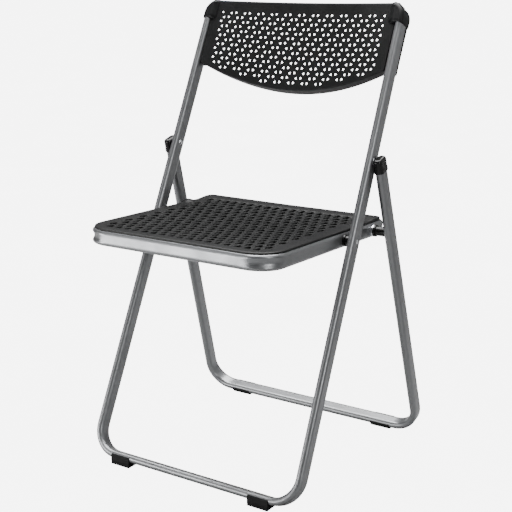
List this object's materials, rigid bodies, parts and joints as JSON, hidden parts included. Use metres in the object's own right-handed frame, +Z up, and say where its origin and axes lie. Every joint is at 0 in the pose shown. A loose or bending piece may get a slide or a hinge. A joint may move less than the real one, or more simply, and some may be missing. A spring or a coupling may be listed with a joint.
{
  "type": "folding chair",
  "caption": "Folding chair with bent oval-tube frames, a perforated curved back and a tube-edged seat; the rear legs and seat fold flat against the front frame.",
  "frame": {"origin": "on the floor under the middle of the open chair", "axes": "+Z up, the chair faces -Y, X runs across it"},
  "size_m": [0.4668, 0.4485, 0.7741],
  "materials": {
    "frame_paint": "satin silver-grey powder coat",
    "panel_plastic": "fine-textured charcoal",
    "black_plastic": "satin black",
    "foot_rubber": "matte black",
    "bright_steel": "bright zinc"
  },
  "bodies": {
    "front_frame_and_back": {"front_frame": "frame_paint", "back_panel": "panel_plastic", "back_panel_screws": "bright_steel", "front_foot_left": "foot_rubber", "front_foot_right": "foot_rubber", "frame_pivot_rivet_left": "bright_steel", "frame_pivot_rivet_right": "bright_steel", "frame_pivot_washer_left": "bright_steel", "frame_pivot_washer_right": "bright_steel", "seat_pivot_rivet_left": "bright_steel", "seat_pivot_rivet_right": "bright_steel", "seat_pivot_spacer_left": "black_plastic", "seat_pivot_spacer_right": "black_plastic"},
    "rear_legs": {"rear_frame": "frame_paint", "rear_cap_left": "black_plastic", "rear_cap_right": "black_plastic", "rear_foot_left": "foot_rubber", "rear_foot_right": "foot_rubber"},
    "seat": {"seat_frame": "frame_paint", "seat_crossbar": "frame_paint", "seat_panel": "panel_plastic", "seat_brackets": "frame_paint", "seat_panel_screws": "bright_steel", "seat_end_plug_left": "black_plastic", "seat_end_plug_right": "black_plastic", "slide_pin_left": "bright_steel", "slide_pin_right": "bright_steel", "slide_washer_left": "bright_steel", "slide_washer_right": "bright_steel", "slide_bush_left": "black_plastic", "slide_bush_right": "black_plastic"}
  },
  "joints": [
    {"name": "rear_leg_fold", "type": "hinge", "parent": "front_frame_and_back", "child": "rear_legs", "pos_m": [0, 0.05689, 0.52371], "axis": [-1, 0, 0], "range_deg": [0, 37.1]},
    {"name": "seat_fold", "type": "hinge", "parent": "front_frame_and_back", "child": "seat", "pos_m": [0, 0.00036, 0.402], "axis": [-1, 0, 0], "range_deg": [0, 100.3]}
  ],
  "couplings": [
    {"joint": "seat_fold", "follows": "rear_leg_fold", "ratio": 2.7}
  ]
}
